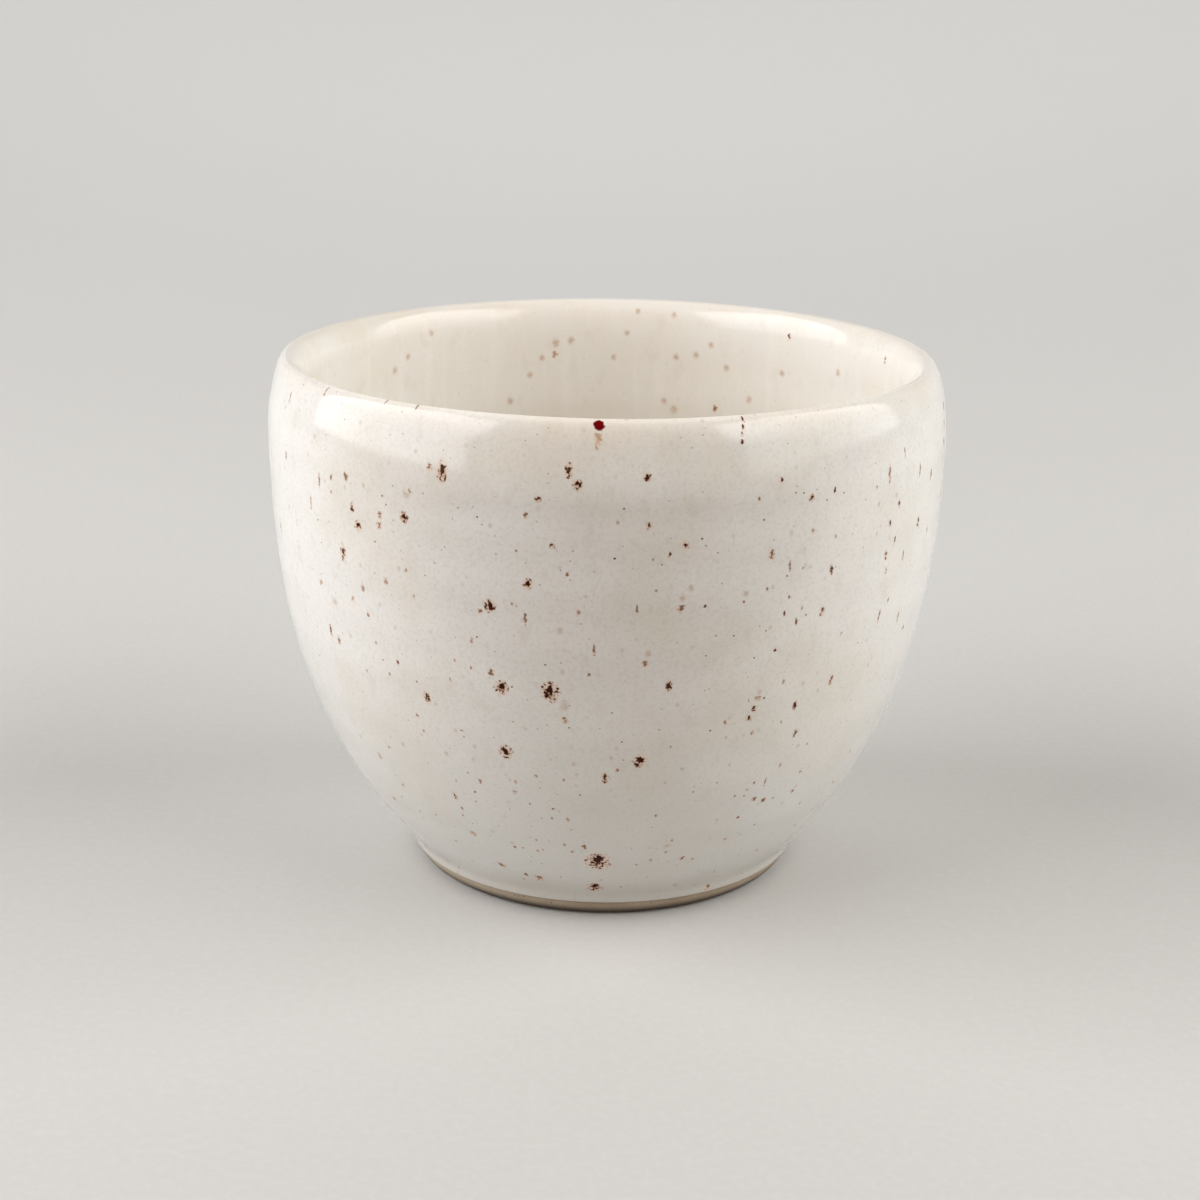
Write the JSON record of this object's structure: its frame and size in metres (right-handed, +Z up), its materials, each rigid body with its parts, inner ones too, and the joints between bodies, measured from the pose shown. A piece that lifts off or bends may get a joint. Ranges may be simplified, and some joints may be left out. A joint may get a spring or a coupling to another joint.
{
  "type": "coffee cup",
  "caption": "Handleless thrown stoneware coffee cup with a round belly, drawn-in lip, turned bare foot and speckled milky white glaze, standing on its foot ring.",
  "frame": {"origin": "on the table, under the middle of the foot ring", "axes": "+Z up along the axis that the cup was turned about; X and Y lie in the table plane, and the camera of the picture looks along +Y"},
  "size_m": [0.09, 0.09, 0.07],
  "materials": {
    "stoneware": "bare fired buff clay, matt and sandy",
    "liner_glaze": "milky cream white glaze with iron specks, glossy",
    "outside_glaze": "milky white glaze with rusty iron specks, glossy, thin and warm over the lip"
  },
  "bodies": {
    "root": {"stoneware_body": "stoneware", "liner_glaze": "liner_glaze", "outside_glaze": "outside_glaze"}
  },
  "joints": []
}
